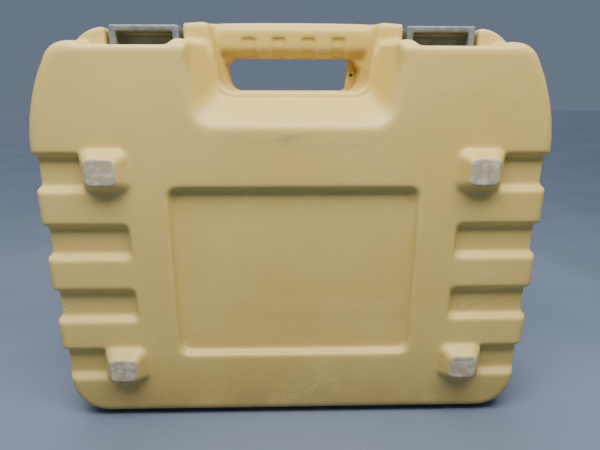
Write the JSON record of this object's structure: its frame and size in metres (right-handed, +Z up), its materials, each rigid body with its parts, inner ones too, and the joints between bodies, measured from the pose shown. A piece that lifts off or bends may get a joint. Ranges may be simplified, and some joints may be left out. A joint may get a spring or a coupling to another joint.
{
  "type": "code reader in carrying case",
  "caption": "Blow-moulded hinged carrying case with feet, grip and flip latches, holding a hand-held vehicle code reader with keys, display and cable socket.",
  "frame": {"origin": "centre of the bounding box in plan, on the floor the case stands on", "axes": "+Z up to the handle, -Y out of the side with feet, +X to the right of someone facing that side"},
  "size_m": [0.44, 0.124, 0.362],
  "materials": {
    "buff_hdpe": "satin blow-moulded polyethylene, scuffed",
    "grey_plastic": "satin moulded plastic",
    "steel": "zinc plated",
    "housing": "fine moulded texture",
    "rubber": "matt",
    "window": "clear plastic",
    "display": "grey-green",
    "white_plastic": "satin",
    "board": "green solder mask",
    "silicone": "satin",
    "key_grey": "satin",
    "key_green": "satin",
    "key_red": "satin",
    "lamp_green": "clear tinted",
    "lamp_yellow": "clear tinted",
    "lamp_red": "clear tinted",
    "black_plastic": "matt",
    "gold": "gold plated"
  },
  "bodies": {
    "base": {"base_shell": "buff_hdpe", "hinge_pins": "steel", "reader_back": "housing", "reader_front": "housing", "bumper_top": "rubber", "bumper_bottom": "rubber", "display_window": "window", "display_frame": "steel", "display_glass": "display", "display_carrier": "white_plastic", "circuit_board": "board", "keypad_mat": "silicone", "lamp_green": "lamp_green", "lamp_yellow": "lamp_yellow", "lamp_red": "lamp_red", "socket_shell": "steel", "socket_insert": "black_plastic", "socket_contacts": "gold", "jack_nuts": "steel", "usb_socket": "steel", "processor": "black_plastic", "memory_chip": "black_plastic", "buzzer": "black_plastic", "housing_screws": "steel"},
    "lid": {"lid_shell": "buff_hdpe", "latch_pins": "steel"},
    "latch_left": {"latch_left": "grey_plastic"},
    "latch_right": {"latch_right": "grey_plastic"},
    "key_up": {"key_up": "key_grey"},
    "key_down": {"key_down": "key_grey"},
    "key_left": {"key_left": "key_grey"},
    "key_right": {"key_right": "key_grey"},
    "key_enter": {"key_enter": "key_green"},
    "key_back": {"key_back": "key_grey"},
    "key_scan": {"key_scan": "key_red"}
  },
  "joints": [
    {"name": "lid_hinge", "type": "hinge", "parent": "base", "child": "lid", "pos_m": [0, 0.006, 0.01], "axis": [-1, 0, 0], "range_deg": [0, 95]},
    {"name": "latch_left_pivot", "type": "hinge", "parent": "lid", "child": "latch_left", "pos_m": [-0.1235, 0.026, 0.349], "axis": [-1, 0, 0], "range_deg": [0, 95]},
    {"name": "latch_right_pivot", "type": "hinge", "parent": "lid", "child": "latch_right", "pos_m": [0.1235, 0.026, 0.349], "axis": [-1, 0, 0], "range_deg": [0, 95]},
    {"name": "key_up_press", "type": "slide", "parent": "base", "child": "key_up", "axis": [0, -1, 0], "range_m": [0, 0.001], "stiffness_N_per_m": 400},
    {"name": "key_down_press", "type": "slide", "parent": "base", "child": "key_down", "axis": [0, -1, 0], "range_m": [0, 0.001], "stiffness_N_per_m": 400},
    {"name": "key_left_press", "type": "slide", "parent": "base", "child": "key_left", "axis": [0, -1, 0], "range_m": [0, 0.001], "stiffness_N_per_m": 400},
    {"name": "key_right_press", "type": "slide", "parent": "base", "child": "key_right", "axis": [0, -1, 0], "range_m": [0, 0.001], "stiffness_N_per_m": 400},
    {"name": "key_enter_press", "type": "slide", "parent": "base", "child": "key_enter", "axis": [0, -1, 0], "range_m": [0, 0.001], "stiffness_N_per_m": 400},
    {"name": "key_back_press", "type": "slide", "parent": "base", "child": "key_back", "axis": [0, -1, 0], "range_m": [0, 0.001], "stiffness_N_per_m": 400},
    {"name": "key_scan_press", "type": "slide", "parent": "base", "child": "key_scan", "axis": [0, -1, 0], "range_m": [0, 0.001], "stiffness_N_per_m": 400}
  ]
}
